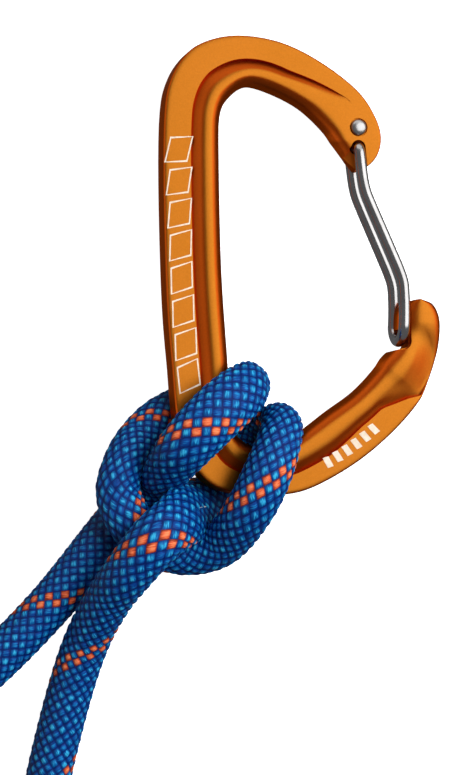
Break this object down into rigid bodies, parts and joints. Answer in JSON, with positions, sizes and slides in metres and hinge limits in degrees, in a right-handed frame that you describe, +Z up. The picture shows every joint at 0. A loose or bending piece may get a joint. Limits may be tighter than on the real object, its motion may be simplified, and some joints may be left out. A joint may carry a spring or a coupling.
{
  "type": "climbing quickdraw carabiner with rope",
  "caption": "Wiregate climbing carabiner, offset D shape with a sprung wire gate, hitched onto a braided rope with sleeved ends.",
  "frame": {"origin": "centre of the carabiner's footprint, on the surface it lies on", "axes": "+Z up out of the surface, +Y from the wide basket end to the narrow top bend, +X from the spine towards the gate"},
  "size_m": [0.1661, 0.2428, 0.0308],
  "materials": {
    "anodised_body": "satin orange anodised",
    "wire": "drawn stainless steel",
    "rope_sheath": "braided polyamide, blue with orange tracers",
    "rope_core": "twisted white polyamide",
    "rope_sleeve": "black shrink tube",
    "rope_seal": "fused fibre ends"
  },
  "bodies": {
    "carabiner": {"carabiner_body": "anodised_body", "gate_wire_peened_end": "wire", "rope_sheath": "rope_sheath", "rope_core_strand_1": "rope_core", "rope_core_strand_2": "rope_core", "rope_core_strand_3": "rope_core", "rope_core_strand_4": "rope_core", "rope_core_strand_5": "rope_core", "rope_core_strand_6": "rope_core", "rope_core_strand_7": "rope_core", "rope_end_sleeve_1": "rope_sleeve", "rope_end_sleeve_2": "rope_sleeve", "rope_end_seal_1": "rope_seal", "rope_end_seal_2": "rope_seal"},
    "gate": {"gate_wire": "wire"}
  },
  "joints": [
    {"name": "gate_hinge", "type": "hinge", "parent": "carabiner", "child": "gate", "pos_m": [0.01238, 0.0264, 0.00614], "axis": [0, -0.1392, -0.9903], "range_deg": [0, 34], "stiffness_Nm_per_rad": 0.3, "springref_deg": -51.57}
  ]
}
